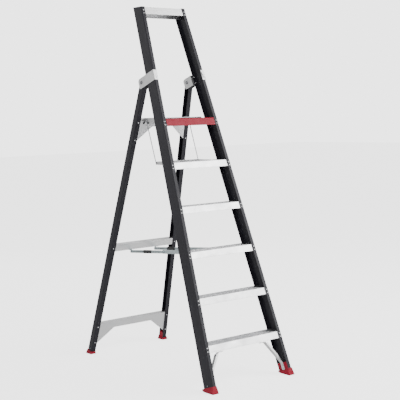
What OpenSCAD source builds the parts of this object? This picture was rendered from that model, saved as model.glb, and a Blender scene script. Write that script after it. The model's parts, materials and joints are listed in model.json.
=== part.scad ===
// One-sided platform step ladder: a stepped front frame, a folding rear frame,
// a hinged standing deck, a hinged tray shelf and two folding spreader struts.
// Millimetres. X is the width, the steps face -Y, +Z is up, the floor is Z = 0
// and the origin is the middle of the footprint.

/* [Overall] */
// Depth of the open ladder on the floor, toe to heel
base_depth = 1253; // [1160:1:1330]
// Height of the standing platform above the floor
platform_h = 1438; // [1430:1:1460]
// Height of the top of the front stiles above the floor
stile_top_h = 2082; // [1960:1:2500]
// Vertical distance from one step to the next
step_rise = 240; // [200:1:280]
// Width over the front stiles at the floor
front_base_w = 571; // [520:1:690]
// Width over the rear legs at the floor
rear_base_w = 577; // [520:1:680]
// Lean of the front frame from the vertical, degrees
front_lean = 19.5; // [17:0.1:21]
// Lean of the rear frame from the vertical, degrees
rear_lean = 17; // [15:0.1:18.5]
// Inward slope of each front stile in the plane of its frame, degrees
side_taper = 3.35; // [2.6:0.05:3.6]

/* [Front stiles] */
// Depth of the channel section
stile_d = 81.4; // [70:0.1:98]
// Width of the channel flanges
stile_flange = 22.7; // [19:0.1:27]
// Wall thickness of the channel
stile_t = 2.5; // [2:0.1:3]
// Radius of the outer corners of the channel
stile_r = 4; // [3:0.5:6]

/* [Rear legs] */
// Depth of the channel section
leg_d = 40.8; // [34:0.1:49]
// Width of the channel flanges
leg_flange = 29.5; // [25:0.1:36]
// Wall thickness of the channel
leg_t = 2.5; // [2:0.1:3]
// Radius of the outer corners of the channel
leg_r = 3; // [2:0.5:5]
// Distance from the leg's front line to the heel of its foot, on the floor
leg_heel = 48; // [42:1:58]

/* [Steps] */
// Number of fixed steps below the platform
step_count = 5; // [5:1:5]
// Height of a step's front face, measured upright
step_h = 36; // [30:1:43]
// Wall thickness of a step
step_t = 2.2; // [1.8:0.1:3]
// Height of the grip ribs
rib_h = 1.2; // [0.8:0.1:2]
// Distance between grip ribs
rib_pitch = 6; // [5:0.5:8]

/* [Guard beam] */
// Height of the beam between the stile tops
beam_h = 40; // [33:1:48]
// Depth of that beam
beam_d = 54; // [45:1:64]

/* [Main hinge] */
// Distance of the main hinge axis behind the stiles
pivot_back = 48.3; // [44:0.1:54]
// Diameter of the hinge bolts
bolt_d = 10; // [8:0.5:12]
// Radial clearance of every running fit
fit_gap = 0.05; // [0.03:0.01:0.09]
// Width of the hinge straps
strap_w = 60; // [50:1:72]
// Thickness of the hinge straps
strap_t = 2.5; // [2:0.1:3]
// Reach of the straps behind the hinge axis
strap_tail = 28; // [25:1:34]
// Side clearance between a strap and the rear leg
strap_gap = 2; // [1.8:0.1:3]

/* [Deck and shelf] */
// Height of the deck above the platform step
deck_rise = 10; // [8:0.5:12]
// Clearance between a side of the deck and the rear leg beside it
deck_side_gap = 12; // [10:0.5:20]
// Thickness of the deck and shelf sheet
deck_t = 2.5; // [2:0.1:3]
// Depth of the deck's side flanges
deck_flange = 24; // [20:1:29]
// Depth of the shelf's side flanges
shelf_flange = 18; // [16:1:22]
// Distance of the deck and shelf hinge behind their step
hinge_back = 11; // [10:0.5:13]
// Distance of the deck and shelf hinge below the standing surface
hinge_drop = 10; // [8:0.5:11]
// Diameter of the deck and shelf hinge pins
hinge_pin_d = 6; // [5:0.5:7]
// Distance from those hinges to the stay rods
rod_arm = 122; // [100:1:126]
// Length of the shelf behind its hinge
shelf_len = 131; // [131:1:150]
// Diameter of the stay rods
rod_d = 5; // [4:0.5:6]

/* [Spreader struts] */
// Distance of each strut from the middle of the ladder
strut_x = 85; // [70:1:100]
// Height of a strut's front anchor above the lower edge of the step that carries it
strut_up = 12; // [6:1:16]
// Distance of that anchor behind the stiles
strut_back = 13.6; // [12:0.1:18]
// Drop from a strut's front anchor to its rear anchor
strut_fall = 56; // [50:1:60]
// Distance of that rear anchor behind the front of the rear legs
strut_in = 6; // [4:0.5:10]
// Width of the front link
link_front_w = 22; // [18:1:24]
// Width of the rear link
link_rear_w = 18; // [15:1:20]
// Thickness of both links
link_t = 3; // [2.5:0.1:4]
// Side clearance between the two links
link_gap = 2; // [1.8:0.1:3]
// Diameter of the strut pins
strut_pin_d = 7; // [6:0.5:8]

/* [Feet] */
// Length of the front soles
front_sole = 74; // [66:1:80]
// Length of the rear soles
rear_sole = 56; // [50:1:62]
// How far a foot spreads past its leg on each side
foot_flare = 9; // [7:0.5:11]
// How far a rear foot spreads past the outer side of its leg
rear_flare = 5; // [4:0.5:7]

/* [Hidden] */
$fn = 48;
touch = 0.01;
big = 4000;

// Frame lines: where each frame's front plane meets the floor
front_y0 = -base_depth / 2;
rear_y0 = base_depth / 2 - leg_heel;
front_half = front_base_w / 2;
rear_half = rear_base_w / 2;
function front_y(z) = front_y0 + z * tan(front_lean);
function rear_y(z) = rear_y0 - z * tan(rear_lean);
// Slope distance and depth of a point (y, z) in each leaning frame
function front_s(y, z) = (y - front_y0) * sin(front_lean) + z * cos(front_lean);
function front_d(y, z) = (y - front_y0) * cos(front_lean) - z * sin(front_lean);
function rear_s(y, z) = -(y - rear_y0) * sin(rear_lean) + z * cos(rear_lean);

// Main hinge axis, where the rear legs' centreline runs pivot_back behind the stiles
leg_mid_y0 = rear_y0 + leg_d / 2 / cos(rear_lean);
pivot_h = ((leg_mid_y0 - front_y0) * cos(front_lean) - stile_d - pivot_back)
    / (tan(rear_lean) * cos(front_lean) + sin(front_lean));
pivot_y = leg_mid_y0 - pivot_h * tan(rear_lean);
pivot_s = front_s(pivot_y, pivot_h);
pivot_d = front_d(pivot_y, pivot_h);
pivot_rs = rear_s(pivot_y, pivot_h);
pivot_half = front_half - pivot_s * tan(side_taper);
leg_top_half = pivot_half - strap_gap;
rear_taper = atan((rear_half - leg_top_half) / pivot_rs);
// Distance from the middle to the open edge of a leg's front flange, at height z
function leg_inner(z) = rear_half - z / cos(rear_lean) * tan(rear_taper) - leg_flange;
leg_over = 24;
front_angle = [-front_lean, 0, 0];
rear_angle = [rear_lean, 0, 0];

// Steps
inner_d = stile_d - 2 * stile_t;
step_run = inner_d / cos(front_lean);
step_back = step_h * tan(front_lean);
function step_z(i) = platform_h - (step_count + 1 - i) * step_rise;
function step_y(i) = front_y(step_z(i)) + stile_t / cos(front_lean);
rivet_r = 3.6;
rivet_h = 1.8;

// Deck and shelf hinges, stay rods
deck_y = step_y(step_count + 1) + step_run + hinge_back;
deck_top = platform_h + deck_rise;
deck_half_w = leg_inner(deck_top) - deck_side_gap;
deck_z = deck_top - hinge_drop;
shelf_y = step_y(step_count) + step_run + hinge_back;
shelf_z = step_z(step_count) - hinge_drop;
deck_len = rear_y(deck_top) + 21 - deck_y;
rod_gap = 1.5;
pin_out = rod_gap / 2;
rod_half = deck_half_w + rod_gap + rod_d / 2;
rod_rise = deck_z - shelf_z;
rod_run = deck_y - shelf_y;
knob_r = 8;
lug_half = deck_half_w - deck_t - 0.5;
lug_t = 3;

// Struts
strut_step = 3;
strut_fz = step_z(strut_step) - step_h + strut_up;
strut_fy = front_y(strut_fz) + (stile_d + strut_back) / cos(front_lean);
strut_rz = strut_fz - strut_fall;
strut_ry = rear_y(strut_rz) + strut_in / cos(rear_lean);
strut_span = norm([strut_ry - strut_fy, strut_rz - strut_fz]);
strut_angle = atan2(strut_rz - strut_fz, strut_ry - strut_fy);
// Folded flat, the rear anchor hangs this far below the front one, along the ladder
link_extra = front_s(strut_fy, strut_fz) - pivot_s + pivot_rs - rear_s(strut_ry, strut_rz);
link_front_len = (strut_span + link_extra) / 2;
link_rear_len = (strut_span - link_extra) / 2;
link_front_x = strut_x - link_gap / 2 - link_t;
link_rear_x = strut_x + link_gap / 2;
sleeve_wall = 1.2;

// Crossbars: height of the lower edge on the plane of the rear legs
bar_h = 43;
bar_d = 24;
bar_t = 2;
upper_ear = 83;
lower_bar_z = 153;
middle_bar_z = strut_rz + 13;
upper_bar_z = deck_top - deck_t - 0.5 - bar_d * sin(rear_lean)
    - bar_h * cos(rear_lean) - leg_t * sin(rear_lean);

// Feet
stile_end = 42;
leg_end = 16;
plug_gap = 0.3;
screw_r = 2.5;

module in_front() {
    translate([0, front_y0, 0]) rotate(front_angle) children();
}
module in_rear() {
    translate([0, rear_y0, 0]) rotate(rear_angle) children();
}
module both() {
    children();
    mirror([1, 0, 0]) children();
}
module left() {
    mirror([1, 0, 0]) children();
}
// Frame of the right-hand stile: X is out of its outer face, Z runs up it
module on_stile() {
    in_front() translate([front_half, 0, 0]) rotate([0, -side_taper, 0]) children();
}
module on_leg() {
    in_rear() translate([rear_half, 0, 0]) rotate([0, -rear_taper, 0]) children();
}
// A cylinder along X from x0 to x1
module x_rod(x0, x1, r) {
    translate([x0, 0, 0]) rotate([0, 90, 0]) cylinder(r = r, h = x1 - x0);
}
// Extrudes a [y, z] outline along X from x0 to x1
module along_x(x0, x1) {
    translate([x0, 0, 0]) rotate([90, 0, 90]) linear_extrude(x1 - x0) children();
}
// Extrudes an [x, z] outline along Y from y0 to y1
module along_y(y0, y1) {
    translate([0, y1, 0]) rotate([90, 0, 0]) linear_extrude(y1 - y0) children();
}

// Channel section: outer face on X = 0, open towards -X
module channel(flange, depth, wall, r) {
    difference() {
        union() {
            translate([-flange, 0]) square([flange - r, depth]);
            translate([-flange, r]) square([flange, depth - 2 * r]);
            translate([-r, r]) circle(r);
            translate([-r, depth - r]) circle(r);
        }
        translate([-flange - 1, wall]) square([flange + 1 - wall, depth - 2 * wall]);
    }
}

module stile() {
    stile_len = stile_top_h / cos(front_lean) + stile_d;
    color("#2b2b2f") difference() {
        on_stile() translate([0, 0, stile_end]) linear_extrude(stile_len - stile_end)
            channel(stile_flange, stile_d, stile_t, stile_r);
        translate([-big / 2, -big / 2, stile_top_h]) cube([big, big, big]);
    }
}
module left_stile() {
    left() stile();
}
module right_stile() {
    stile();
}

// The space between the webs of the two stiles
module between_stiles() {
    s0 = -100;
    s1 = stile_top_h / cos(front_lean) + 100;
    web = front_half - stile_t / cos(side_taper);
    function web_x(s) = web - s * tan(side_taper);
    in_front() along_y(stile_t, stile_d - stile_t)
        polygon([[-web_x(s0), s0], [web_x(s0), s0], [web_x(s1), s1], [-web_x(s1), s1]]);
}

// Step section: ribbed top, front and back walls parallel to the stiles
module step_section() {
    lip = 9;
    wall = step_t / cos(front_lean);
    function face(y, z) = [y + z * tan(front_lean), z];
    difference() {
        polygon([face(0, 0), face(step_run, 0), face(step_run, -step_h), face(0, -step_h)]);
        polygon([face(wall, -step_t), face(step_run - wall, -step_t),
            face(step_run - wall, -step_h + step_t), face(step_run - wall - lip, -step_h + step_t),
            face(step_run - wall - lip, -step_h - 1), face(wall + lip, -step_h - 1),
            face(wall + lip, -step_h + step_t), face(wall, -step_h + step_t)]);
        for (y = [rib_pitch : rib_pitch : step_run - rib_pitch])
            translate([y - rib_pitch / 4, -rib_h]) square([rib_pitch / 2, rib_h + 1]);
    }
}
module step(i) {
    color("#d4d6d8") intersection() {
        translate([0, step_y(i), step_z(i)]) along_x(-front_half, front_half) step_section();
        between_stiles();
    }
}
module step_1() { step(1); }
module step_2() { step(2); }
module step_3() { step(3); }
module step_4() { step(4); }
module step_5() { step(5); }
module platform_step() { step(step_count + 1); }

// Red cap over the front face of the platform step, between the flanges
nose_t = 2;
nose_top = 4;
module platform_nose() {
    half = front_half - front_s(front_y(platform_h), platform_h) * tan(side_taper)
        - stile_flange - 1.5;
    function edge(y, z) = [y + z * tan(front_lean), z];
    color("#c8202c") translate([0, step_y(step_count + 1), platform_h]) along_x(-half, half)
        difference() {
            polygon([edge(-nose_t, nose_top - 2.5), edge(0.5, nose_top), edge(10, nose_top),
                edge(10, -step_h - nose_t),
                edge(-nose_t, -step_h - nose_t)]);
            polygon([edge(0, 0), edge(11, 0), edge(11, -step_h), edge(0, -step_h)]);
        }
}

// Guard beam: a channel across the stile tops, open at the bottom
module guard_beam() {
    top_s = stile_top_h / cos(front_lean) + stile_d * tan(front_lean);
    low_s = (stile_top_h - beam_h) / cos(front_lean);
    wall = 2.2;
    color("#d4d6d8") difference() {
        intersection() {
            in_front() along_x(-front_half, front_half) difference() {
                translate([0, low_s]) square([stile_t + beam_d, top_s - low_s]);
                translate([stile_t + wall, low_s - 1])
                    square([beam_d - 2 * wall, beam_h * cos(front_lean) - wall]);
            }
            between_stiles();
        }
        translate([-big / 2, -big / 2, stile_top_h]) cube([big, big, big]);
    }
}

// Dome-topped rivet head standing along +Z on Z = 0
module rivet(r = rivet_r, h = rivet_h) {
    cylinder(r1 = r, r2 = r * 0.62, h = h);
}
// A rivet on the front flange of the right stile, at slope distance s
module flange_rivet(s) {
    on_stile() translate([-stile_flange / 2, 0, s]) rotate([90, 0, 0]) rivet();
}
module step_rivets() {
    color("#c8cacd") both() for (i = [1 : step_count + 2]) {
        z = i > step_count + 1 ? stile_top_h - 4 : step_z(i);
        for (drop = [9, 27])
            flange_rivet((z - drop) / cos(front_lean));
    }
}

// Flat braces from under the lowest step down to the tongues of the front feet
brace_w = 22;
brace_t = 3;
brace_lip = 8;
brace_in = front_half - 148;
tongue_h = 38;
// Inner face of a foot's tongue at slope distance s
function tongue_x(s) = front_half - s * tan(side_taper) - (stile_flange - 1) / cos(side_taper);
module brace() {
    top_s = (step_z(1) - step_h - 1) / cos(front_lean);
    low_s = stile_end - 4;
    knee_s = stile_end + tongue_h;
    bend = [brace_in + 32, top_s];
    knee = [tongue_x(knee_s), knee_s];
    along = (knee - bend) / norm(knee - bend);
    out = [-along[1], along[0]];
    lip_t = 2;
    color("#c9ccce") in_front() translate([0, (stile_d - brace_w) / 2, 0]) {
        along_y(0, brace_w) polygon([[brace_in, top_s], [brace_in, top_s - brace_t],
            [brace_in + 30, top_s - brace_t], [tongue_x(knee_s - 2) - brace_t, knee_s - 2],
            [tongue_x(low_s) - brace_t, low_s], [tongue_x(low_s), low_s], knee, bend]);
        for (y = [0, brace_w - lip_t]) along_y(y, y + lip_t)
            polygon([bend + 8 * along, bend + 16 * along + brace_lip * out,
                knee - 16 * along + brace_lip * out, knee - 8 * along,
                knee - 8 * along - out, bend + 8 * along - out]);
    }
}
module left_brace() { left() brace(); }
module right_brace() { brace(); }
module brace_rivets() {
    color("#c8cacd") both() on_stile() for (up = [10, 26])
        translate([1 - stile_flange - brace_t, stile_d / 2, stile_end + up])
            rotate([0, -90, 0]) rivet();
}

// Foot: a flared block under the cut end of a channel with a plug inside it
module above_cut(wide, cut) {
    translate([-wide, -wide, cut]) cube([2 * wide, 3 * wide, wide]);
}
module front_foot() {
    function corner(d, s) = [front_y0 + d * cos(front_lean) + s * sin(front_lean),
        s * cos(front_lean) - d * sin(front_lean)];
    rim = 1.5;
    top_x = front_half - stile_end * tan(side_taper);
    color("#c8202c") {
        difference() {
          intersection() {
            along_x(0, front_base_w) polygon([[front_y0, 0], [front_y0 + front_sole, 0],
                corner(stile_d + rim, stile_end - 8), corner(stile_d + rim, stile_end + 3),
                corner(-rim, stile_end + 3), corner(-rim, stile_end - 18)]);
            along_y(-base_depth, base_depth) polygon([[front_half + foot_flare, 0],
                [front_half + foot_flare, 5], [top_x + rim, stile_end],
                [top_x - stile_flange - rim, stile_end],
                [front_half - stile_flange - foot_flare, 5],
                [front_half - stile_flange - foot_flare, 0]]);
          }
          on_stile() above_cut(200, stile_end);
          on_stile() translate([1 - stile_flange - 20, (stile_d - brace_w) / 2 - 1, stile_end - 5])
              cube([20, brace_w + 2, 20]);
        }
        on_stile() translate([1 - stile_flange, stile_t + plug_gap, stile_end - touch])
            cube([stile_flange - 1 - stile_t - plug_gap, inner_d - 2 * plug_gap, tongue_h]);
    }
}
module left_front_foot() { left() front_foot(); }
module right_front_foot() { front_foot(); }
module front_foot_screws() {
    color("#b9bcc0") both() on_stile() translate([0, stile_d * 0.55, stile_end + 9])
        rotate([0, 90, 0]) rivet(4.2, 2);
}

// Hinge strap: wraps the front flange and runs back past the hinge axis
module strap_outline(d0) {
    end_d = pivot_d + strap_tail;
    r = 16;
    h = strap_w / 2;
    translate([d0, pivot_s - h]) square([end_d - r - d0, strap_w]);
    translate([end_d - r - touch, pivot_s - h + r]) square([r + touch, strap_w - 2 * r]);
    translate([end_d - r, pivot_s - h + r]) circle(r);
    translate([end_d - r, pivot_s + h - r]) circle(r);
}
module pivot_hole(r) {
    in_front() translate([0, pivot_d, pivot_s]) x_rod(0, front_half, r);
}
module hinge_strap() {
    color("#c2c5c9") difference() {
        on_stile() {
            along_x(0, strap_t) strap_outline(-strap_t);
            translate([-stile_flange + 1, -strap_t, pivot_s - strap_w / 2])
                cube([stile_flange - 1 + touch, strap_t, strap_w]);
        }
        pivot_hole(bolt_d / 2);
    }
}
module left_hinge_strap() { left() hinge_strap(); }
module right_hinge_strap() { hinge_strap(); }

// Inner hinge plate: bent foot riveted to the back of the stile
plate_x = leg_flange + 2 * strap_gap + strap_t;
module hinge_plate() {
    color("#c2c5c9") difference() {
        on_stile() {
            translate([-plate_x, 0, 0]) along_x(0, strap_t) strap_outline(stile_d);
            translate([-plate_x, stile_d, pivot_s - strap_w / 2])
                cube([plate_x - 3, strap_t, strap_w]);
        }
        pivot_hole(bolt_d / 2);
    }
}
module left_hinge_plate() { left() hinge_plate(); }
module right_hinge_plate() { hinge_plate(); }

// Hinge bolt: shank through both plates, a head at each end
module hinge_bolt() {
    out = pivot_half + strap_t + 2;
    inn = pivot_half - plate_x - 2;
    color("#9da1a6") in_front() translate([0, pivot_d, pivot_s]) {
        x_rod(inn, out, bolt_d / 2);
        x_rod(out - touch, out + 3, bolt_d * 0.85);
        x_rod(inn - 3, inn + touch, bolt_d * 0.85);
    }
}
module left_hinge_bolt() { left() hinge_bolt(); }
module right_hinge_bolt() { hinge_bolt(); }
module hinge_rivets() {
    color("#b9bcc0") both() on_stile() {
        for (side = [-1, 1])
            translate([-stile_flange * 0.55, stile_d - stile_t, pivot_s + side * 18])
                rotate([90, 0, 0]) rivet();
        translate([-stile_flange / 2, -strap_t, pivot_s - 16]) rotate([90, 0, 0]) rivet();
    }
}
// Bush in the rear leg, turning on the hinge bolt
module hinge_bush() {
    half = pivot_half - strap_gap;
    color("#e4e2da") in_front() translate([0, pivot_d, pivot_s]) difference() {
        x_rod(half - leg_flange, half + strap_gap / 2, bolt_d / 2 + 3);
        x_rod(half - leg_flange - 1, half + strap_gap, bolt_d / 2 + fit_gap);
    }
}
module left_hinge_bush() { left() hinge_bush(); }
module right_hinge_bush() { hinge_bush(); }

// Rear leg
module leg() {
    color("#26262a") difference() {
        on_leg() translate([0, 0, leg_end])
            linear_extrude((pivot_rs + leg_over) / cos(rear_taper) - leg_end)
                channel(leg_flange, leg_d, leg_t, leg_r);
        pivot_hole(bolt_d / 2 + 3);
    }
}
module left_leg() { left() leg(); }
module right_leg() { leg(); }
module between_legs() {
    s0 = -100;
    s1 = pivot_rs + 100;
    web = rear_half - leg_t / cos(rear_taper);
    function web_x(s) = web - s * tan(rear_taper);
    in_rear() along_y(leg_t, leg_d - leg_t)
        polygon([[-web_x(s0), s0], [web_x(s0), s0], [web_x(s1), s1], [-web_x(s1), s1]]);
}
// Crossbar across the rear legs, lower edge at height z, with corner ears
// that reach down the legs by ear_drop and in from them by ear_run
module crossbar(z, ear_drop, ear_run) {
    s = z / cos(rear_lean);
    inner = leg_inner(z);
    color("#c4c7ca") intersection() {
        in_rear() difference() {
            union() {
                along_y(leg_t, leg_t + bar_t) {
                    translate([-rear_half, s]) square([rear_base_w, bar_h]);
                    if (ear_drop > 0)
                        for (side = [-1, 1]) polygon([[side * (inner - ear_run), s + touch],
                            [side * rear_half, s + touch], [side * rear_half, s - ear_drop],
                            [side * (inner + 4), s - ear_drop]]);
                }
                translate([-rear_half, leg_t, s + bar_h - bar_t])
                    cube([rear_base_w, bar_d, bar_t]);
                if (ear_drop == 0)
                    translate([-rear_half, leg_t, s]) cube([rear_base_w, bar_d, bar_t]);
            }
        }
        between_legs();
    }
}
module lower_crossbar() { crossbar(lower_bar_z, 90, 109); }
module middle_crossbar() { crossbar(middle_bar_z, 0, 0); }
module upper_crossbar() { crossbar(upper_bar_z, upper_ear, 92); }
// Round stop buttons on the front of the upper crossbar, under the deck's back fold
module bar_buttons() {
    s = upper_bar_z / cos(rear_lean) + 24;
    color("#4a4a4e") both() in_rear() for (in = [28, 58])
        translate([leg_inner(upper_bar_z) - in, leg_t, s]) rotate([90, 0, 0]) rivet(8, 2.5);
}
module leg_rivet(s) {
    on_leg() translate([-leg_flange / 2, 0, s]) rotate([90, 0, 0]) rivet();
}
module leg_rivets() {
    color("#c8cacd") both() {
        for (z = [lower_bar_z, middle_bar_z])
            leg_rivet(z / cos(rear_lean) + bar_h / 2);
        leg_rivet(upper_bar_z / cos(rear_lean) + bar_h - 13);
        leg_rivet(lower_bar_z / cos(rear_lean) - 84);
        leg_rivet(upper_bar_z / cos(rear_lean) - upper_ear + 6);
    }
}

module rear_foot() {
    function corner(d, s) = [rear_y0 + d * cos(rear_lean) - s * sin(rear_lean),
        s * cos(rear_lean) + d * sin(rear_lean)];
    rim = 1.5;
    top_x = rear_half - leg_end * tan(rear_taper);
    heel = rear_y0 + leg_heel;
    color("#c8202c") {
        difference() {
          intersection() {
            along_x(0, rear_base_w) polygon([[heel - rear_sole, 0], [heel, 0], [heel, 6],
                corner(leg_d + rim, leg_end), corner(leg_d + rim, leg_end + 3),
                corner(-rim, leg_end + 3), [heel - rear_sole, 6]]);
            along_y(-base_depth, base_depth) polygon([[rear_half + rear_flare, 0],
                [rear_half + rear_flare, 5], [top_x + rim, leg_end * 2],
                [top_x - leg_flange - rim, leg_end * 2],
                [rear_half - leg_flange - rim, 5], [rear_half - leg_flange - rim, 0]]);
          }
          on_leg() above_cut(200, leg_end);
        }
        on_leg() translate([-leg_flange + 1, leg_t + plug_gap, leg_end - touch])
            cube([leg_flange - 1 - leg_t - plug_gap, leg_d - 2 * (leg_t + plug_gap), 34]);
    }
}
module left_rear_foot() { left() rear_foot(); }
module right_rear_foot() { rear_foot(); }
module rear_foot_screws() {
    color("#b9bcc0") both() on_leg() translate([0, leg_d * 0.5, leg_end + 14])
        rotate([0, 90, 0]) rivet(4.2, 2);
}

// Hinged sheet: ribbed top, side flanges with hinge eyes and a back fold.
// Drawn with its hinge axis on X = any, Y = 0, Z = 0, lying flat behind it.
module hinged_sheet(len, fold_len, flange, rod_hole) {
    front = 3;
    eye_r = hinge_drop - 0.5;
    groove = 0.8;
    pitch = 7;
    difference() {
        union() {
            along_x(-deck_half_w, deck_half_w) difference() {
                translate([-front, hinge_drop - deck_t]) square([len + front, deck_t]);
                for (y = [pitch : pitch : len - pitch])
                    translate([y, hinge_drop - groove]) square([pitch / 2, groove + 1]);
            }
            for (x = [-deck_half_w, deck_half_w - deck_t]) along_x(x, x + deck_t) {
                circle(eye_r);
                translate([0, hinge_drop - flange]) square([fold_len, flange - deck_t / 2]);
            }
            translate([-deck_half_w, fold_len - deck_t, hinge_drop - flange])
                cube([2 * deck_half_w, deck_t, flange - deck_t / 2]);
        }
        x_rod(-front_base_w, front_base_w, hinge_pin_d / 2 + fit_gap);
        translate([0, rod_arm, 0]) x_rod(-front_base_w, front_base_w, rod_hole);
    }
}
module deck() {
    fold_len = rear_y(deck_top) - 3 - deck_y;
    color("#b4b7ba") translate([0, deck_y, deck_z])
        hinged_sheet(deck_len, fold_len, deck_flange, rod_d / 2 + fit_gap);
}
module shelf() {
    color("#b4b7ba") translate([0, shelf_y, shelf_z])
        hinged_sheet(shelf_len, shelf_len, shelf_flange, rod_d / 2 + 0.6);
}
// Lugs on the back of a step that carry the hinge pin of a sheet whose top
// stands rise above the step's top
module lugs(rise) {
    function wall(z) = [(z - hinge_drop + rise) * tan(front_lean) - hinge_back, z];
    color("#a9acb0") difference() {
        for (x = [-lug_half, lug_half - lug_t]) along_x(x, x + lug_t) {
            circle(hinge_pin_d / 2 + 3);
            polygon([[-5.5, -2], wall(-3), wall(-21), [3, -5]]);
        }
        x_rod(-front_base_w, front_base_w, hinge_pin_d / 2);
    }
}
module deck_lugs() { translate([0, deck_y, deck_z]) lugs(deck_rise); }
module shelf_lugs() { translate([0, shelf_y, shelf_z]) lugs(0); }
module hinge_pin() {
    color("#9da1a6") x_rod(-deck_half_w - pin_out, deck_half_w + pin_out, hinge_pin_d / 2);
}
module deck_pin() { translate([0, deck_y, deck_z]) hinge_pin(); }
module shelf_pin() { translate([0, shelf_y, shelf_z]) hinge_pin(); }

// Stay rod between shelf and deck, its ends bent inwards through the flanges
module rod() {
    length = norm([rod_run, rod_rise]);
    bend = rod_d / 2 + 0.02;
    color("#9da1a6") translate([0, shelf_y + rod_arm, shelf_z]) {
        translate([rod_half, 0, 0]) {
            rotate([-atan2(rod_run, rod_rise), 0, 0]) cylinder(r = rod_d / 2, h = length);
            sphere(bend);
            translate([0, rod_run, rod_rise]) sphere(bend);
        }
        for (end = [0, 1]) translate([0, end * rod_run, end * rod_rise])
            x_rod(deck_half_w - deck_t - 3, rod_half, rod_d / 2);
    }
}
module left_rod() { left() rod(); }
module right_rod() { rod(); }

// Spreader struts
module at_front_anchor() {
    translate([0, strut_fy, strut_fz]) children();
}
module at_rear_anchor() {
    translate([0, strut_ry, strut_rz]) children();
}
// A flat link drawn from its own pin at Y = 0 towards +Y
module link(x, length, width, own_hole, far_hole) {
    along_x(x, x + link_t) difference() {
        union() {
            circle(width / 2);
            translate([length, 0]) circle(width / 2);
            translate([0, -width / 2]) square([length, width]);
        }
        circle(own_hole);
        translate([length, 0]) circle(far_hole);
    }
}
module front_link() {
    lip_h = 6;
    lip_t = 2;
    lip_in = 25;
    color("#b8c4c6") at_front_anchor() rotate([strut_angle, 0, 0]) {
        link(link_front_x, link_front_len, link_front_w, strut_pin_d / 2 + fit_gap,
            strut_pin_d / 2);
        for (z = [-link_front_w / 2, link_front_w / 2 - lip_t])
            translate([link_front_x - lip_h, lip_in, z])
                cube([lip_h + touch, link_front_len - 2 * lip_in, lip_t]);
    }
}
module left_front_link() { left() front_link(); }
module right_front_link() { front_link(); }
module knuckle_rivet() {
    color("#9da1a6") at_front_anchor() rotate([strut_angle, 0, 0]) translate([0, link_front_len, 0]) {
        x_rod(link_front_x - 1, link_front_x + link_t + 0.6, strut_pin_d / 2);
        x_rod(link_front_x - 3, link_front_x, strut_pin_d * 0.85);
    }
}
module left_knuckle_rivet() { left() knuckle_rivet(); }
module right_knuckle_rivet() { knuckle_rivet(); }
module rear_link() {
    color("#b8c4c6") at_rear_anchor() rotate([strut_angle + 180, 0, 0])
        link(link_rear_x, link_rear_len, link_rear_w, strut_pin_d / 2 + fit_gap,
            strut_pin_d / 2 + 0.5);
}
module left_rear_link() { left() rear_link(); }
module right_rear_link() { rear_link(); }
module sleeve() {
    sleeve_from = 130;
    sleeve_len = 78;
    color("#1c1c1e") at_rear_anchor() rotate([strut_angle + 180, 0, 0]) difference() {
        translate([link_rear_x - sleeve_wall, sleeve_from, -link_rear_w / 2 - sleeve_wall])
            cube([link_t + 2 * sleeve_wall, sleeve_len, link_rear_w + 2 * sleeve_wall]);
        translate([link_rear_x, sleeve_from - 1, -link_rear_w / 2])
            cube([link_t, sleeve_len + 2, link_rear_w]);
    }
}
module left_sleeve() { left() sleeve(); }
module right_sleeve() { sleeve(); }

bracket_t = 2.5;
module strut_front_brackets() {
    wall_d = stile_d - stile_t;
    wall_s = front_s(step_y(strut_step) + step_run, step_z(strut_step) - step_h);
    anchor_d = stile_d + strut_back;
    anchor_s = front_s(strut_fy, strut_fz);
    x = link_front_x - 0.5 - bracket_t;
    color("#b8c4c6") both() difference() {
        in_front() {
            translate([x - 18, wall_d, wall_s + 3]) cube([18 + touch, bracket_t, 26]);
            along_x(x, x + bracket_t) {
                translate([anchor_d, anchor_s]) circle(11);
                polygon([[wall_d, wall_s + 3], [wall_d, wall_s + 29],
                    [wall_d + bracket_t, wall_s + 29], [anchor_d + 6, anchor_s + 9],
                    [anchor_d, anchor_s - 11], [wall_d + bracket_t, wall_s + 3]]);
            }
        }
        at_front_anchor() x_rod(0, front_half, strut_pin_d / 2);
    }
}
module strut_front_pins() {
    inner = link_front_x - 0.5 - bracket_t;
    color("#9da1a6") both() at_front_anchor() {
        x_rod(inner - 1, link_front_x + link_t + 0.5, strut_pin_d / 2);
        x_rod(inner - 3, inner, strut_pin_d * 0.8);
    }
}
module strut_rear_brackets() {
    bar_s = middle_bar_z / cos(rear_lean);
    anchor_s = rear_s(strut_ry, strut_rz);
    x = link_rear_x + link_t + 0.5;
    color("#b8c4c6") both() difference() {
        in_rear() {
            translate([x, leg_t, bar_s - bracket_t]) cube([22, bar_d, bracket_t]);
            along_x(x, x + bracket_t) {
                translate([strut_in, anchor_s]) circle(9);
                polygon([[leg_t, bar_s], [leg_t + 14, bar_s], [strut_in + 9, anchor_s],
                    [strut_in - 9, anchor_s]]);
            }
        }
        at_rear_anchor() x_rod(0, front_half, strut_pin_d / 2);
    }
}
module strut_rear_pins() {
    outer = link_rear_x + link_t + 0.5 + bracket_t;
    color("#9da1a6") both() at_rear_anchor() {
        x_rod(link_rear_x - 0.5, outer + 1, strut_pin_d / 2);
        x_rod(outer, outer + 3, strut_pin_d * 0.8);
    }
}

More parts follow.
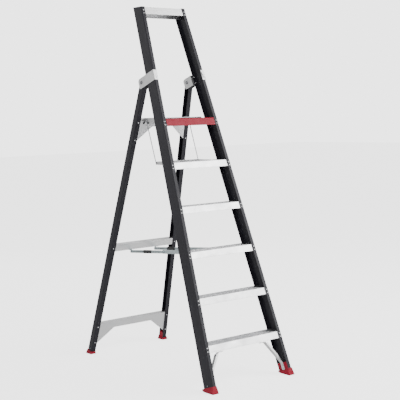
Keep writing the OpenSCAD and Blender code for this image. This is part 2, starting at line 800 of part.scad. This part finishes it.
left_stile();
right_stile();
guard_beam();
step_1();
step_2();
step_3();
step_4();
step_5();
platform_step();
platform_nose();
step_rivets();
left_brace();
right_brace();
brace_rivets();
left_front_foot();
right_front_foot();
front_foot_screws();
left_hinge_strap();
right_hinge_strap();
left_hinge_plate();
right_hinge_plate();
left_hinge_bolt();
right_hinge_bolt();
hinge_rivets();
deck_lugs();
deck_pin();
shelf_lugs();
shelf_pin();
strut_front_brackets();
strut_front_pins();
left_leg();
right_leg();
left_hinge_bush();
right_hinge_bush();
lower_crossbar();
middle_crossbar();
upper_crossbar();
bar_buttons();
leg_rivets();
left_rear_foot();
right_rear_foot();
rear_foot_screws();
strut_rear_brackets();
strut_rear_pins();
deck();
shelf();
left_rod();
right_rod();
left_front_link();
right_front_link();
left_knuckle_rivet();
right_knuckle_rivet();
left_rear_link();
right_rear_link();
left_sleeve();
right_sleeve();
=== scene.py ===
"""Looks for the platform step ladder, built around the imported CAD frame. Metres."""

import json
import math

import bmesh
import bpy
from mathutils import Matrix, Vector


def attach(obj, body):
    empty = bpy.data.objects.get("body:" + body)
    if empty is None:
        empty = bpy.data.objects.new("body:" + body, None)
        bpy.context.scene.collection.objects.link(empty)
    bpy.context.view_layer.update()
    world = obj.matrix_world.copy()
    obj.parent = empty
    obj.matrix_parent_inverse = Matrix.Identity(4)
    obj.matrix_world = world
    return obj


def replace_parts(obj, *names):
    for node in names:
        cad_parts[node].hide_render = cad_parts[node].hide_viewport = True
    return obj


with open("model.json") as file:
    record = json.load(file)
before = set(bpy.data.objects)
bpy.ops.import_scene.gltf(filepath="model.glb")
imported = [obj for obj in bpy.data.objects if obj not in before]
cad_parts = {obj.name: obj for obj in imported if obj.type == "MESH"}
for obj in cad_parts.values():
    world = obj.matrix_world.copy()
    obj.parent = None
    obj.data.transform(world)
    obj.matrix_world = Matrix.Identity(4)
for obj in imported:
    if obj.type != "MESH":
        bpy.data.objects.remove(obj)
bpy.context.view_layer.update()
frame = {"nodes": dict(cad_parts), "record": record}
NODES = frame["nodes"]


# ---------------------------------------------------------------- materials
class Shader:
    """A Principled material under construction, with short helpers for its nodes."""

    def __init__(self, name, color, metallic=0.0, roughness=0.5, **sockets):
        self.material = bpy.data.materials.new(name)
        self.material.use_nodes = True
        self.tree = self.material.node_tree
        self.bsdf = self.tree.nodes["Principled BSDF"]
        self.bsdf.inputs["Base Color"].default_value = (*color, 1.0)
        self.bsdf.inputs["Metallic"].default_value = metallic
        self.bsdf.inputs["Roughness"].default_value = roughness
        for socket, value in sockets.items():
            self.bsdf.inputs[socket.replace("_", " ")].default_value = value
        self.coords = self.add("ShaderNodeTexCoord").outputs["Object"]
        self.height = None

    def add(self, kind, **settings):
        node = self.tree.nodes.new(kind)
        for name, value in settings.items():
            setattr(node, name, value)
        return node

    def link(self, source, target):
        self.tree.links.new(source, target)

    def noise(self, scale, stretch=(1, 1, 1), detail=3.0, roughness=0.55):
        """Noise over the object, stretch makes it long along the axes with small numbers."""
        mapping = self.add("ShaderNodeMapping")
        mapping.inputs["Scale"].default_value = stretch
        self.link(self.coords, mapping.inputs["Vector"])
        node = self.add("ShaderNodeTexNoise")
        node.inputs["Scale"].default_value = scale
        node.inputs["Detail"].default_value = detail
        node.inputs["Roughness"].default_value = roughness
        self.link(mapping.outputs["Vector"], node.inputs["Vector"])
        return node.outputs["Fac"]

    def ramp(self, source, low, high, out_low=0.0, out_high=1.0):
        """Maps low..high of the source to out_low..out_high, held at the ends."""
        node = self.add("ShaderNodeMapRange")
        for index, value in enumerate((low, high, out_low, out_high), start=1):
            node.inputs[index].default_value = value
        self.link(source, node.inputs["Value"])
        return node.outputs["Result"]

    def times(self, first, second):
        node = self.add("ShaderNodeMath", operation="MULTIPLY")
        for index, value in enumerate((first, second)):
            if isinstance(value, float):
                node.inputs[index].default_value = value
            else:
                self.link(value, node.inputs[index])
        return node.outputs[0]

    def edges(self, radius, low=0.90, high=0.995):
        """1 near a sharp edge of the mesh, 0 on its flat stretches."""
        bevel = self.add("ShaderNodeBevel", samples=4)
        bevel.inputs["Radius"].default_value = radius
        geometry = self.add("ShaderNodeNewGeometry")
        dot = self.add("ShaderNodeVectorMath", operation="DOT_PRODUCT")
        self.link(bevel.outputs["Normal"], dot.inputs[0])
        self.link(geometry.outputs["Normal"], dot.inputs[1])
        return self.ramp(dot.outputs["Value"], low, high, 1.0, 0.0)

    def tint(self, factor, color):
        """Mixes a colour over what already feeds Base Color."""
        mix = self.add("ShaderNodeMix", data_type="RGBA")
        base = self.bsdf.inputs["Base Color"]
        if base.is_linked:
            self.link(base.links[0].from_socket, mix.inputs["A"])
        else:
            mix.inputs["A"].default_value = base.default_value
        mix.inputs["B"].default_value = (*color, 1.0)
        self.link(factor, mix.inputs["Factor"])
        self.link(mix.outputs["Result"], base)

    def facing_up(self, low=0.9, high=0.98):
        """1 on the faces that look up at rest, 0 on the others."""
        split = self.add("ShaderNodeSeparateXYZ")
        self.link(self.add("ShaderNodeTexCoord").outputs["Normal"], split.inputs["Vector"])
        return self.ramp(split.outputs["Z"], low, high)

    def vary_roughness(self, source, low, high):
        self.link(self.ramp(source, 0.3, 0.7, low, high), self.bsdf.inputs["Roughness"])

    def bump(self, source, strength, distance):
        node = self.add("ShaderNodeBump")
        node.inputs["Strength"].default_value = strength
        node.inputs["Distance"].default_value = distance
        self.link(source, node.inputs["Height"])
        if self.height is not None:
            self.link(self.height, node.inputs["Normal"])
        self.height = node.outputs["Normal"]
        self.link(self.height, self.bsdf.inputs["Normal"])

    def soften(self, radius):
        """Rounds sharp edges in the shading, under any bump that follows."""
        node = self.add("ShaderNodeBevel", samples=4)
        node.inputs["Radius"].default_value = radius
        self.height = node.outputs["Normal"]
        self.link(self.height, self.bsdf.inputs["Normal"])


def coated_black():
    """Charcoal powder coat on extruded channel: fine orange peel, drawn lines, worn corners."""
    shader = Shader("coated_black", (0.0112, 0.0104, 0.0155), roughness=0.41,
                    Specular_IOR_Level=0.3)
    shader.soften(0.0012)
    patches = shader.noise(9.0, detail=5.0)
    shader.tint(shader.ramp(patches, 0.35, 0.7, 0.0, 0.6), (0.0148, 0.014, 0.0205))
    dust = shader.noise(60.0, stretch=(1.0, 0.35, 0.12), detail=6.0)
    shader.tint(shader.ramp(dust, 0.6, 0.8, 0.0, 0.3), (0.045, 0.045, 0.055))
    wear = shader.ramp(patches, 0.4, 0.6, 0.1, 0.6)
    shader.tint(shader.times(shader.edges(0.0016), wear), (0.10, 0.10, 0.125))
    shader.vary_roughness(patches, 0.34, 0.48)
    shader.bump(shader.noise(700.0, detail=2.0), 0.25, 0.0004)
    shader.bump(shader.noise(260.0, stretch=(1.0, 1.0, 0.02), detail=1.0), 0.12, 0.0004)
    return shader.material


def darker(shade, red, green, blue):
    """A grey shade with each colour taken down by its own factor."""
    return shade * red, shade * green, shade * blue


def aluminium(name, shade, grain, roughness=0.3, wear=0.3, painted_top_shade=0.0, rim=0.0018):
    """Extruded aluminium: draw lines along one axis, hazy oxide patches and light scuffs, with
    a painted shade line along the edges, rim wide. The last factor paints shade on the faces that
    look up at rest."""
    shader = Shader(name, (shade, shade * 1.003, shade * 1.008), metallic=1.0,
                    roughness=roughness)
    shader.soften(0.0008)
    haze = shader.noise(14.0, detail=5.0)
    shader.tint(shader.ramp(haze, 0.35, 0.75, 0.0, 0.5), darker(shade, 0.86, 0.865, 0.875))
    short_grain = tuple(0.25 if g < 1 else 1.0 for g in grain)
    scuffs = shader.noise(110.0, stretch=short_grain, detail=6.0, roughness=0.7)
    shader.tint(shader.ramp(scuffs, 0.6, 0.78, 0.0, wear), darker(shade, 0.55, 0.55, 0.56))
    # painted shade: every sharp edge darkens in a band rim wide, standing in for shading along the
    # edges
    shader.tint(shader.times(shader.edges(rim), 0.55), darker(shade, 0.3, 0.3, 0.32))
    # painted shade: faces that look up at rest are darkened, standing in for tops that catch less
    # light than the fronts
    if painted_top_shade:
        shader.tint(shader.times(shader.facing_up(), painted_top_shade), darker(shade, 0.42, 0.425, 0.45))
    shader.vary_roughness(haze, roughness - 0.05, roughness + 0.14)
    shader.bump(shader.noise(900.0, stretch=grain, detail=2.0), 0.2, 0.0003)
    return shader.material


def red_plastic():
    """Moulded red plastic: fine spark texture, slightly paler rubbed edges."""
    shader = Shader("red_plastic", (0.32, 0.003, 0.022), roughness=0.46,
                    Specular_IOR_Level=0.24)
    shader.soften(0.0015)
    mottling = shader.noise(22.0, detail=4.0)
    shader.tint(shader.ramp(mottling, 0.4, 0.7, 0.0, 0.5), (0.27, 0.0025, 0.019))
    shader.tint(shader.times(shader.edges(0.002), 0.3), (0.5, 0.02, 0.04))
    shader.vary_roughness(mottling, 0.38, 0.46)
    shader.bump(shader.noise(1100.0, detail=2.0), 0.3, 0.0004)
    return shader.material


def zinc_plate():
    """Blue-bright zinc on pressed steel, with faint spangle and water marks."""
    shader = Shader("zinc_plate", (0.60, 0.68, 0.70), metallic=1.0, roughness=0.3)
    shader.soften(0.0008)
    cells = shader.add("ShaderNodeTexVoronoi")
    cells.inputs["Scale"].default_value = 190.0
    shader.link(shader.coords, cells.inputs["Vector"])
    shader.tint(shader.ramp(cells.outputs["Distance"], 0.1, 0.7, 0.0, 0.35), (0.48, 0.56, 0.58))
    marks = shader.noise(30.0, detail=5.0)
    shader.tint(shader.ramp(marks, 0.55, 0.75, 0.0, 0.4), (0.74, 0.78, 0.76))
    shader.vary_roughness(marks, 0.24, 0.42)
    shader.bump(shader.noise(500.0), 0.15, 0.0003)
    return shader.material


def plain_part(name, color, metallic, roughness, fleck):
    """A small turned or moulded part: fine grain, uneven gloss, a second shade in flecks."""
    shader = Shader(name, color, metallic=metallic, roughness=roughness)
    shader.soften(0.0005)
    grain = shader.noise(160.0, detail=4.0)
    shader.tint(shader.ramp(grain, 0.45, 0.7, 0.0, 0.5), fleck)
    shader.vary_roughness(grain, roughness - 0.06, roughness + 0.1)
    shader.bump(shader.noise(800.0), 0.2, 0.0002)
    return shader.material


# Stretch of the draw lines: along the steps and bars, and along the leaning parts
ALONG_X = (0.02, 1.0, 1.0)
ALONG_SLOPE = (1.0, 0.3, 0.05)
MATERIALS = {
    "black_frame": coated_black(),
    # the steps and the deck get painted shade on their up-facing faces
    "step_aluminium": aluminium("step_aluminium", 0.90, ALONG_X, roughness=0.32, painted_top_shade=0.95,
                                rim=0.0045),
    "beam_aluminium": aluminium("beam_aluminium", 0.88, ALONG_X, roughness=0.3),
    "bar_aluminium": aluminium("bar_aluminium", 0.80, ALONG_X, roughness=0.36),
    "deck_aluminium": aluminium("deck_aluminium", 0.72, ALONG_X, roughness=0.38, wear=0.5,
                                painted_top_shade=0.5),
    "red_plastic": red_plastic(),
    "hinge_alloy": aluminium("hinge_alloy", 0.70, ALONG_SLOPE, roughness=0.34, wear=0.45),
    "zinc_steel": zinc_plate(),
    "black_plastic": plain_part("black_plastic", (0.02, 0.02, 0.022), 0.0, 0.5,
                                (0.04, 0.04, 0.042)),
    "white_nylon": plain_part("white_nylon", (0.8, 0.78, 0.72), 0.0, 0.45, (0.68, 0.66, 0.6)),
    "rivet_alloy": plain_part("rivet_alloy", (0.86, 0.87, 0.88), 1.0, 0.28,
                              (0.62, 0.63, 0.64)),
    "bright_steel": plain_part("bright_steel", (0.33, 0.335, 0.35), 1.0, 0.26,
                               (0.24, 0.245, 0.26)),
}


def dress_cad():
    """Gives every CAD node the material of its slot, and breaks the sharp edges of the
    moulded and pressed ones."""
    for part in frame["record"]["subparts"]:
        node = NODES[part["node"]]
        node.data.materials.clear()
        node.data.materials.append(MATERIALS[part["material_slot"]])
        if part["node"].endswith("_foot") or part["node"] == "platform_nose":
            break_edges(node, 0.0011, 3)
        elif part["node"].endswith(("_strap", "_plate", "_brace", "_link", "_sleeve")):
            break_edges(node, 0.0005, 2)


def break_edges(obj, width, segments):
    """Rounds the sharp edges of an object by a small bevel, after joining doubled points."""
    weld = obj.modifiers.new("weld", "WELD")
    weld.merge_threshold = 0.00002
    bevel = obj.modifiers.new("bevel", "BEVEL")
    bevel.width = width
    bevel.segments = segments
    bevel.limit_method = "ANGLE"
    bevel.angle_limit = math.radians(35)
    bevel.harden_normals = True


# ---------------------------------------------------------------- detailed hardware
def islands(node):
    """The separate solids of a CAD node, each as the list of its points."""
    mesh = NODES[node].data
    per_metre = 1e5
    places = {}
    index = [places.setdefault(tuple(round(c * per_metre) for c in v.co), len(places))
             for v in mesh.vertices]
    parent = list(range(len(places)))

    def root(i):
        while parent[i] != i:
            i = parent[i]
        return i

    for edge in mesh.edges:
        first, second = (root(index[v]) for v in edge.vertices)
        parent[first] = second
    groups = {}
    for place, i in places.items():
        groups.setdefault(root(i), []).append(Vector([c / per_metre for c in place]))
    return list(groups.values())


def middle(points):
    return sum(points, Vector()) / len(points)


def head_frames(node):
    """Base centre and outward direction of each fastener head in a CAD node."""
    for points in islands(node):
        centre = middle(points)
        far = max((p - centre).length for p in points)
        rim = 0.85 * far
        base = middle([p for p in points if (p - centre).length > rim])
        top = middle([p for p in points if (p - centre).length <= rim])
        yield base, (top - base).normalized()


def turned(bm, place, axis, profile, sides=24):
    """Adds a turned body to bm. The profile's rings are (radius, height) or, for a hexagon
    of that half width across its flats, (radius, height, "hex"). Radius 0 closes it."""
    stand = axis.to_track_quat("Z", "Y").to_matrix().to_4x4()
    stand.translation = place
    rings = []
    for radius, height, *shape in profile:
        if radius == 0:
            rings.append([bm.verts.new(stand @ Vector((0, 0, height)))])
            continue
        ring = []
        for i in range(sides):
            angle = 2 * math.pi * i / sides
            reach = radius
            if shape:
                reach /= math.cos((angle + math.pi / 6) % (math.pi / 3) - math.pi / 6)
            point = Vector((reach * math.cos(angle), reach * math.sin(angle), height))
            ring.append(bm.verts.new(stand @ point))
        rings.append(ring)
    for lower, upper in zip(rings, rings[1:]):
        for i in range(sides):
            j = (i + 1) % sides
            if len(upper) == 1:
                bm.faces.new((lower[i], lower[j], upper[0]))
            elif len(lower) == 1:
                bm.faces.new((lower[0], upper[j], upper[i]))
            else:
                bm.faces.new((lower[i], lower[j], upper[j], upper[i]))


def scaled(profile, unit=0.001):
    """A profile given in millimetres, or in another unit, in metres."""
    return [(ring[0] * unit, ring[1] * unit, *ring[2:]) for ring in profile]


def add_piece(name, bm, body, slot, sharp=32):
    """Makes a mesh piece of bm, riding on a CAD body, in the finish of a material slot."""
    mesh = bpy.data.meshes.new(name)
    bmesh.ops.recalc_face_normals(bm, faces=bm.faces)
    bm.to_mesh(mesh)
    bm.free()
    mesh.shade_smooth()
    mesh.set_sharp_from_angle(angle=math.radians(sharp))
    mesh.materials.append(MATERIALS[slot])
    piece = bpy.data.objects.new(name, mesh)
    bpy.context.collection.objects.link(piece)
    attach(piece, body)
    return piece


# Blind rivet: thin flange, domed head, hollow with the snapped stem inside
RIVET = scaled([(3.5, 0), (3.75, 0.15), (3.7, 0.4), (3.3, 0.95), (2.6, 1.4), (1.8, 1.7),
                (1.45, 1.75), (1.3, 1.55), (1.22, 0.9), (0.95, 0.82), (0.6, 0.95), (0, 1.0)])
# Pan-head screw with a hexagonal recess
SCREW = scaled([(4.1, 0), (4.3, 0.2), (4.3, 0.7), (4.0, 1.35), (3.3, 1.8), (2.4, 2.0),
                (1.75, 2.0, "hex"), (1.6, 1.85, "hex"), (1.5, 0.8, "hex"), (0, 0.55)])
# Moulded stop button: low dome with a ring groove and a dished middle
BUTTON = scaled([(7.6, 0), (8.0, 0.3), (7.9, 1.0), (7.1, 1.9), (6.2, 2.35), (5.4, 2.4),
                 (5.1, 1.9), (4.6, 1.9), (4.3, 2.5), (3.2, 2.5), (2.4, 1.8), (0, 1.3)])


def make_heads(name, node, body, slot, profile):
    """One piece of turned heads that takes the place of a CAD node's plain ones."""
    bm = bmesh.new()
    for place, axis in head_frames(node):
        turned(bm, place, axis, profile)
    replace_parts(add_piece(name, bm, body, slot), node)


def make_fasteners():
    make_heads("step_rivet_heads", "step_rivets", "front_frame", "rivet_alloy", RIVET)
    make_heads("brace_rivet_heads", "brace_rivets", "front_frame", "rivet_alloy", RIVET)
    make_heads("hinge_rivet_heads", "hinge_rivets", "front_frame", "rivet_alloy", RIVET)
    make_heads("leg_rivet_heads", "leg_rivets", "rear_frame", "rivet_alloy", RIVET)
    make_heads("bar_button_caps", "bar_buttons", "rear_frame", "black_plastic", BUTTON)
    make_heads("front_foot_screw_heads", "front_foot_screws", "front_frame", "bright_steel", SCREW)
    make_heads("rear_foot_screw_heads", "rear_foot_screws", "rear_frame", "bright_steel", SCREW)


def cross_pin(points):
    """A stepped pin along X: a point on its axis, the x of its two ends, the shank's radius
    and the radius at each end."""
    low, high = min(p.x for p in points), max(p.x for p in points)
    centre = Vector((0, (min(p.y for p in points) + max(p.y for p in points)) / 2,
                     (min(p.z for p in points) + max(p.z for p in points)) / 2))

    def reach(p):
        return math.hypot(p.y - centre.y, p.z - centre.z)

    end = 1e-4
    shank = min(reach(p) for p in points)
    low_r = max(reach(p) for p in points if p.x < low + end)
    high_r = max(reach(p) for p in points if p.x > high - end)
    return centre, low, high, shank, low_r, high_r


def make_hinge_bolts():
    """Shoulder bolts of the main hinge: domed socket head and washer outside, locking nut
    inside. Heights are measured from each end of the CAD bolt."""
    sides = 36
    inset = 0.004
    for side in ("left", "right"):
        node = side + "_hinge_bolt"
        centre, low, high, r = cross_pin(islands(node)[0])[:4]
        out = 1 if side == "right" else -1
        tip, foot = (high, low) if out > 0 else (low, high)
        outer, inner = (Vector((x, centre.y, centre.z)) for x in (tip, foot))
        axis = Vector((out, 0, 0))
        bm = bmesh.new()
        turned(bm, outer, axis, [
            (r, -0.02), (r, -0.005), (r * 2.15, -0.005), (r * 2.2, -0.0047), (r * 2.2, -0.0036),
            (r * 2.12, -0.0034), (r * 1.75, -0.0034), (r * 1.78, -0.003), (r * 1.75, -0.0014),
            (r * 1.55, -0.0005), (r * 1.2, 0.0), (r * 0.72, 0.0, "hex"),
            (r * 0.66, -0.0003, "hex"), (r * 0.62, -0.0024, "hex"), (0, -0.0028)], sides)
        turned(bm, inner, -axis, [
            (r, -0.02), (r, -0.005), (r * 2.1, -0.005), (r * 2.1, -0.0038),
            (r * 1.62, -0.0037, "hex"), (r * 1.66, -0.0034, "hex"), (r * 1.66, -0.0012, "hex"),
            (r * 1.58, -0.0008, "hex"), (r * 1.4, -0.0006), (r * 1.36, 0.0), (r * 1.1, 0.0002),
            (r * 0.98, -0.0002), (r * 0.94, 0.0), (0, 0.0001)], sides)
        turned(bm, outer, -axis, [(r, inset), (r, abs(tip - foot) - inset)], sides)
        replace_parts(add_piece(side + "_hinge_bolt_turned", bm, "front_frame", "bright_steel"), node)


def make_strut_pins():
    """Riveted pins of the spreader struts: a domed head and a peened tail on each."""
    head_over_shank = 1.2
    inset = 0.0005
    jobs = [("strut_front_pins", "front_frame"), ("strut_rear_pins", "rear_frame"),
            ("left_knuckle_rivet", "left_front_link"), ("right_knuckle_rivet", "right_front_link")]
    for node, body in jobs:
        bm = bmesh.new()
        for points in islands(node):
            centre, low, high, r, low_r, high_r = cross_pin(points)
            for tip, side, reach in ((low, -1, low_r), (high, 1, high_r)):
                place, axis = Vector((tip, centre.y, centre.z)), Vector((side, 0, 0))
                if reach > r * head_over_shank:
                    turned(bm, place, axis, [
                        (r, -0.004), (r, -0.0028), (r * 1.55, -0.0028), (r * 1.62, -0.0022),
                        (r * 1.5, -0.0012), (r * 1.1, -0.0003), (r * 0.5, 0.0), (0, 0.0)])
                else:
                    turned(bm, place, axis, [
                        (r, -0.001), (r * 0.99, -0.0003), (r * 0.9, 0.0), (r * 0.55, 0.0),
                        (r * 0.4, -0.0003), (0, -0.0004)])
            turned(bm, Vector((low, centre.y, centre.z)), Vector((1, 0, 0)),
                   [(r, inset), (r, high - low - inset)])
        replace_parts(add_piece(node + "_turned", bm, body, "bright_steel"), node)


def rounded_slab(bm, corners, thickness, radius, steps=4):
    """A slab with rounded corners: corners are its outline in order, thickness a vector."""
    ring = []
    count = len(corners)
    for i, corner in enumerate(corners):
        back = (corners[i - 1] - corner).normalized() * radius
        ahead = (corners[(i + 1) % count] - corner).normalized() * radius
        for k in range(steps + 1):
            t = k / steps
            ring.append(corner + back * (1 - t) ** 2 + ahead * t ** 2)
    lower = [bm.verts.new(p) for p in ring]
    upper = [bm.verts.new(p + thickness) for p in ring]
    bm.faces.new(lower)
    bm.faces.new(upper)
    for i in range(len(ring)):
        j = (i + 1) % len(ring)
        bm.faces.new((lower[i], lower[j], upper[j], upper[i]))


def rectangle(x0, x1, y0, y1, z):
    return [Vector(corner) for corner in ((x0, y0, z), (x1, y0, z), (x1, y1, z), (x0, y1, z))]


def make_stile_caps():
    """Black moulded caps closing the tops of the stiles, with a raised middle."""
    overhang = 0.0004
    inset = 0.005
    plate = 0.0028
    sunk = 0.0002
    raised = 0.0012
    for side in ("left", "right"):
        points = [v.co.copy() for v in NODES[side + "_stile"].data.vertices]
        top = max(p.z for p in points)
        rim = [p for p in points if p.z > top - 0.0002]
        x0, x1 = min(p.x for p in rim) - overhang, max(p.x for p in rim) + overhang
        y0, y1 = min(p.y for p in rim) - overhang, max(p.y for p in rim) + overhang
        bm = bmesh.new()
        rounded_slab(bm, rectangle(x0, x1, y0, y1, top), Vector((0, 0, plate)), 0.004)
        middle_part = rectangle(x0 + inset, x1 - inset, y0 + inset, y1 - inset,
                                top + plate - sunk)
        rounded_slab(bm, middle_part, Vector((0, 0, raised)), 0.003)
        break_edges(add_piece(side + "_stile_cap", bm, "front_frame", "black_plastic"), 0.0006, 3)


# ---------------------------------------------------------------- camera and studio
# Brightness of the floor and of the backdrop, for the camera only
FLOOR_GLOW = 2.4
BACKDROP_GLOW = 3.3


def place_camera():
    """Camera at the viewing angle of the ladder's picture: left of the front, at eye height."""
    lens_mm = 87.09
    sensor_mm = 36.0
    place = Vector((-3.3827, -4.4790, 1.4594))
    heading, pitch, roll = (math.radians(a) for a in (38.239, -5.042, -1.484))
    forward = Vector((math.sin(heading) * math.cos(pitch), math.cos(heading) * math.cos(pitch),
                      math.sin(pitch)))
    level = Vector((math.cos(heading), -math.sin(heading), 0.0))
    upright = level.cross(forward)
    right = level * math.cos(roll) + upright * math.sin(roll)
    up = upright * math.cos(roll) - level * math.sin(roll)
    data = bpy.data.cameras.new("camera")
    data.lens = lens_mm
    data.sensor_width = sensor_mm
    data.dof.use_dof = False
    camera = bpy.data.objects.new("camera", data)
    turn = Matrix((right, up, -forward)).transposed().to_4x4()
    camera.matrix_world = Matrix.Translation(place) @ turn
    bpy.context.collection.objects.link(camera)
    bpy.context.scene.camera = camera


def area_light(name, place, target, size, power):
    """A square soft light at a place, turned to a target."""
    data = bpy.data.lights.new(name, "AREA")
    data.size = size
    data.energy = power
    light = bpy.data.objects.new(name, data)
    light.location = place
    light.rotation_euler = (Vector(target) - Vector(place)).to_track_quat("-Z", "Y").to_euler()
    bpy.context.collection.objects.link(light)


def build_studio():
    """Pale floor, white surroundings and three large soft lights."""
    mesh = bpy.data.meshes.new("floor")
    reach = 30.0
    corners = rectangle(-reach, reach, -reach, reach, 0)
    mesh.from_pydata(corners, [], [(0, 1, 2, 3)])
    floor = bpy.data.objects.new("floor", mesh)
    paper = Shader("floor_paper", (0.9, 0.9, 0.9), roughness=0.9, Specular_IOR_Level=0.1)
    paper.bump(paper.noise(40.0), 0.05, 0.001)
    seen = paper.add("ShaderNodeLightPath").outputs["Is Camera Ray"]
    paper.bsdf.inputs["Emission Color"].default_value = (1.0, 1.0, 1.0, 1.0)
    paper.link(paper.times(seen, FLOOR_GLOW), paper.bsdf.inputs["Emission Strength"])
    mesh.materials.append(paper.material)
    bpy.context.collection.objects.link(floor)
    build_surroundings()
    half_way_up = (0, 0, 1.0)
    area_light("key", (-3.2, -3.6, 3.4), half_way_up, 3.0, 70)
    area_light("front", (3.0, -3.2, 2.9), half_way_up, 3.6, 190)
    area_light("rear", (1.5, 4.0, 3.0), half_way_up, 3.0, 25)


def build_surroundings():
    """White backdrop that lights the ladder from the sides more than from above."""
    world = bpy.data.worlds.new("studio")
    world.use_nodes = True
    tree = world.node_tree
    light = tree.nodes["Background"]
    backdrop = tree.nodes.new("ShaderNodeBackground")
    backdrop.inputs["Strength"].default_value = BACKDROP_GLOW
    direction = tree.nodes.new("ShaderNodeTexCoord")
    split = tree.nodes.new("ShaderNodeSeparateXYZ")
    height = tree.nodes.new("ShaderNodeMapRange")
    for index, value in enumerate((0.05, 0.8, 1.15, 0.45), start=1):
        height.inputs[index].default_value = value
    mix = tree.nodes.new("ShaderNodeMixShader")
    seen = tree.nodes.new("ShaderNodeLightPath")
    tree.links.new(direction.outputs["Generated"], split.inputs["Vector"])
    tree.links.new(split.outputs["Z"], height.inputs["Value"])
    tree.links.new(height.outputs["Result"], light.inputs["Strength"])
    tree.links.new(seen.outputs["Is Camera Ray"], mix.inputs["Fac"])
    tree.links.new(light.outputs["Background"], mix.inputs[1])
    tree.links.new(backdrop.outputs["Background"], mix.inputs[2])
    tree.links.new(mix.outputs["Shader"], tree.nodes["World Output"].inputs["Surface"])
    for node in (light, backdrop):
        node.inputs["Color"].default_value = (1.0, 1.0, 1.0, 1.0)
    bpy.context.scene.world = world


place_camera()
build_studio()
dress_cad()
make_fasteners()
make_hinge_bolts()
make_strut_pins()
make_stile_caps()
